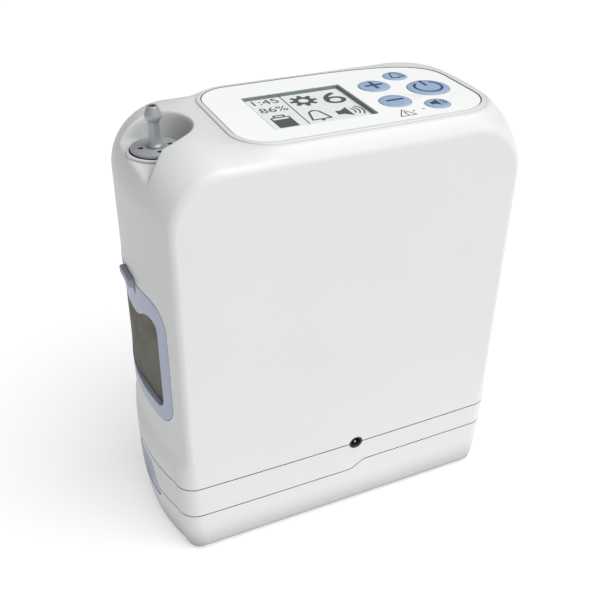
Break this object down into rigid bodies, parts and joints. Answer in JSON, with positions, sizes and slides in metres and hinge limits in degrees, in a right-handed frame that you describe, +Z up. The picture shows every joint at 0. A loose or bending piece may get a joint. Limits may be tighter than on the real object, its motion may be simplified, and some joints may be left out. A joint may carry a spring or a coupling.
{
  "type": "portable oxygen concentrator",
  "caption": "Slim upright oxygen concentrator with a top panel of round keys and a screen, a barbed outlet in a scooped corner, a side air filter and a slide-off battery base.",
  "frame": {"origin": "middle of the footprint, on the plane the four feet rest on", "axes": "+Z up, front face towards -Y, +X to the right seen from the front"},
  "size_m": [0.1831, 0.0854, 0.2146],
  "materials": {
    "casing": "satin white moulded plastic with a very fine grain",
    "panel": "smooth white overlay",
    "key": "soft satin, pale blue",
    "blue_trim": "satin moulded plastic, pale blue-grey",
    "nozzle_metal": "satin anodised, blue-grey",
    "filter_mesh": "fine woven screen, grey-brown",
    "display": "pale liquid-crystal display behind a smooth window",
    "amber_lens": "translucent amber",
    "dark_plastic": "moulded, near black",
    "grey_plastic": "moulded, mid grey",
    "rubber": "matt",
    "silicone": "milky, translucent",
    "cast_alloy": "plain",
    "steel": "bright",
    "brass": "machined",
    "circuit_board": "green solder mask",
    "cell_wrap": "shrink wrap, blue"
  },
  "bodies": {
    "housing": {"upper_housing": "casing", "base_housing": "casing", "control_panel": "panel", "screen_window": "display", "lcd_module": "dark_plastic", "status_light": "amber_lens", "key_board": "circuit_board", "power_jack": "dark_plastic", "exhaust_grille": "blue_trim", "fan_frame": "dark_plastic", "compressor_motor": "cast_alloy", "compressor_body": "cast_alloy", "compressor_head_1": "cast_alloy", "compressor_head_2": "cast_alloy", "column_base": "grey_plastic", "sieve_column_1": "cast_alloy", "sieve_column_2": "cast_alloy", "column_cap": "grey_plastic", "product_tank": "grey_plastic", "valve_block": "brass", "solenoid_valve_1": "dark_plastic", "solenoid_valve_2": "dark_plastic", "solenoid_valve_3": "dark_plastic", "solenoid_valve_4": "dark_plastic", "main_board": "circuit_board", "oxygen_tube": "silicone", "supply_tube": "silicone", "latch_spring": "steel", "housing_screw_1": "steel", "housing_screw_2": "steel", "housing_screw_3": "steel", "housing_screw_4": "steel"},
    "alarm_key": {"button_alarm": "key"},
    "plus_key": {"button_plus": "key"},
    "power_key": {"button_power": "key"},
    "minus_key": {"button_minus": "key"},
    "sound_key": {"button_sound": "key"},
    "battery": {"battery_tray": "casing", "battery_lid": "casing", "battery_board": "circuit_board", "battery_cell_1": "cell_wrap", "battery_cell_2": "cell_wrap", "battery_cell_3": "cell_wrap", "battery_cell_4": "cell_wrap", "battery_cell_5": "cell_wrap", "battery_cell_6": "cell_wrap", "battery_cell_7": "cell_wrap", "battery_cell_8": "cell_wrap", "foot_1": "rubber", "foot_2": "rubber", "foot_3": "rubber", "foot_4": "rubber"},
    "latch": {"battery_latch": "blue_trim"},
    "intake_filter": {"intake_filter_frame": "blue_trim", "intake_filter_mesh": "filter_mesh"},
    "outlet": {"outlet_nozzle": "nozzle_metal", "nozzle_seal": "rubber", "outlet_filter": "silicone"},
    "fan": {"fan_rotor": "dark_plastic"},
    "crank": {"compressor_shaft": "steel"}
  },
  "joints": [
    {"name": "press_alarm", "type": "slide", "parent": "housing", "child": "alarm_key", "axis": [0, 0, -1], "range_m": [0, 0.0008], "stiffness_N_per_m": 400},
    {"name": "press_plus", "type": "slide", "parent": "housing", "child": "plus_key", "axis": [0, 0, -1], "range_m": [0, 0.0008], "stiffness_N_per_m": 400},
    {"name": "press_power", "type": "slide", "parent": "housing", "child": "power_key", "axis": [0, 0, -1], "range_m": [0, 0.0008], "stiffness_N_per_m": 400},
    {"name": "press_minus", "type": "slide", "parent": "housing", "child": "minus_key", "axis": [0, 0, -1], "range_m": [0, 0.0008], "stiffness_N_per_m": 400},
    {"name": "press_sound", "type": "slide", "parent": "housing", "child": "sound_key", "axis": [0, 0, -1], "range_m": [0, 0.0008], "stiffness_N_per_m": 400},
    {"name": "battery_slide", "type": "slide", "parent": "housing", "child": "battery", "axis": [1, 0, 0], "range_m": [0, 0.045]},
    {"name": "latch_press", "type": "slide", "parent": "housing", "child": "latch", "axis": [1, 0, 0], "range_m": [0, 0.0025], "stiffness_N_per_m": 600},
    {"name": "filter_pull", "type": "slide", "parent": "housing", "child": "intake_filter", "axis": [-1, 0, 0], "range_m": [0, 0.02]},
    {"name": "outlet_lift", "type": "slide", "parent": "housing", "child": "outlet", "axis": [0, 0, 1], "range_m": [0, 0.025]},
    {"name": "fan_spin", "type": "hinge", "parent": "housing", "child": "fan", "pos_m": [-0.074, 0, 0.108], "axis": [1, 0, 0], "continuous": true},
    {"name": "compressor_spin", "type": "hinge", "parent": "housing", "child": "crank", "pos_m": [-0.035, 0, 0.072], "axis": [1, 0, 0], "continuous": true}
  ]
}
